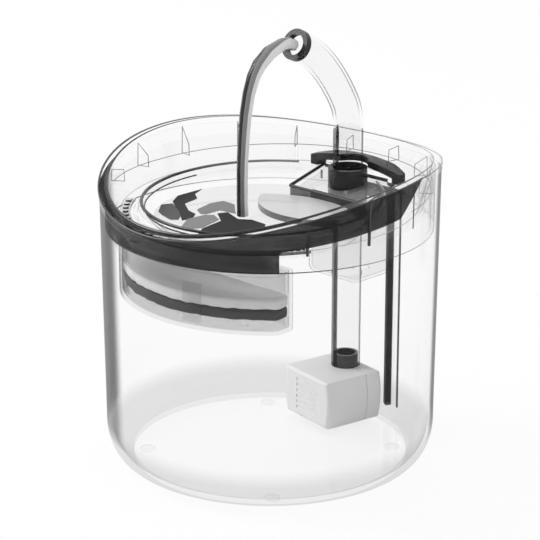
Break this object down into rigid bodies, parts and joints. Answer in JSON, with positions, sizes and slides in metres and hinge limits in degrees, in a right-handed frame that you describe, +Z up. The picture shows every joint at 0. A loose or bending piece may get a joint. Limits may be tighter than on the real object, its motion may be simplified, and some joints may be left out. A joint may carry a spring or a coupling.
{
  "type": "pet water fountain",
  "caption": "Round clear pet water fountain with a saddle-shaped rim, drop-in drinking bowl, swivelling arched spout, submerged pump and hanging filter basket.",
  "frame": {"origin": "centre of the base, on the surface the fountain stands on", "axes": "+Z up; -Y is the front with the low side of the rim, the spout stands at the back on +Y; +X to the right"},
  "size_m": [0.1756, 0.1756, 0.224],
  "materials": {
    "clear_tank": "clear polished",
    "foot_rubber": "soft clear",
    "clear_tray": "clear, smoke tint at the front",
    "smoke_plastic": "dark smoke, polished",
    "clear_tube": "clear polished",
    "clear_basket": "translucent",
    "carbon": "granular",
    "floss": "fibrous",
    "sponge": "open foam",
    "pump_shell": "satin",
    "black_rubber": "matt",
    "dark_plastic": "satin",
    "shaft_steel": "ground",
    "bush_rubber": "matt",
    "magnet": "matt",
    "copper": "enamelled"
  },
  "bodies": {
    "tank": {"tank": "clear_tank", "foot_pad_1": "foot_rubber", "foot_pad_2": "foot_rubber", "foot_pad_3": "foot_rubber", "foot_pad_4": "foot_rubber", "riser_tube": "clear_tube", "pump_case": "pump_shell", "cord_gland": "black_rubber", "volute": "dark_plastic", "rotor_sleeve": "dark_plastic", "rotor_shaft": "shaft_steel", "stator_core": "shaft_steel", "stator_coil": "copper", "shaft_bush_1": "bush_rubber", "shaft_bush_2": "bush_rubber", "suction_cup_3": "black_rubber", "suction_cup_4": "black_rubber"},
    "rotor": {"rotor_magnet": "magnet", "impeller": "dark_plastic"},
    "pump_cover": {"pump_cover": "pump_shell", "intake_sponge": "sponge", "suction_cup_1": "black_rubber", "suction_cup_2": "black_rubber"},
    "flow_knob": {"flow_knob": "pump_shell"},
    "tray": {"tray_frame": "clear_tray", "bowl": "clear_tray", "splash_shelf": "clear_tray", "drain_grate": "clear_tray", "rear_well": "clear_tray", "cord_conduit": "clear_tray", "spout_socket": "smoke_plastic"},
    "bridge_clip": {"rear_bridge": "smoke_plastic"},
    "spout": {"spout_stem": "clear_tube", "spout_arch": "clear_tube", "spout_coupling": "clear_tube", "outlet_ring": "smoke_plastic"},
    "filter": {"filter_basket": "clear_basket", "basket_grid": "clear_basket", "lid_frame": "clear_basket", "filter_lid": "clear_basket", "basket_tab": "clear_basket", "filter_carbon": "carbon", "filter_floss": "floss"}
  },
  "joints": [
    {"name": "tray_lift", "type": "slide", "parent": "tank", "child": "tray", "axis": [0, 0, 1], "range_m": [0, 0.16]},
    {"name": "spout_swivel", "type": "hinge", "parent": "tray", "child": "spout", "pos_m": [0, 0.0595, 0.15], "axis": [0, 0, 1], "continuous": true},
    {"name": "filter_drop", "type": "slide", "parent": "tray", "child": "filter", "axis": [0, 0, -1], "range_m": [0, 0.06]},
    {"name": "clip_lift", "type": "slide", "parent": "tray", "child": "bridge_clip", "axis": [0, 0, 1], "range_m": [0, 0.014]},
    {"name": "rotor_spin", "type": "hinge", "parent": "tank", "child": "rotor", "pos_m": [0, 0.0595, 0.01855], "axis": [0.184, 0.9829, 0], "continuous": true},
    {"name": "cover_slide", "type": "slide", "parent": "tank", "child": "pump_cover", "axis": [-0.184, -0.9829, 0], "range_m": [0, 0.02]},
    {"name": "knob_turn", "type": "hinge", "parent": "pump_cover", "child": "flow_knob", "pos_m": [-0.02323, 0.04411, 0.01855], "axis": [0.9829, -0.184, 0], "range_deg": [-45, 45]}
  ]
}
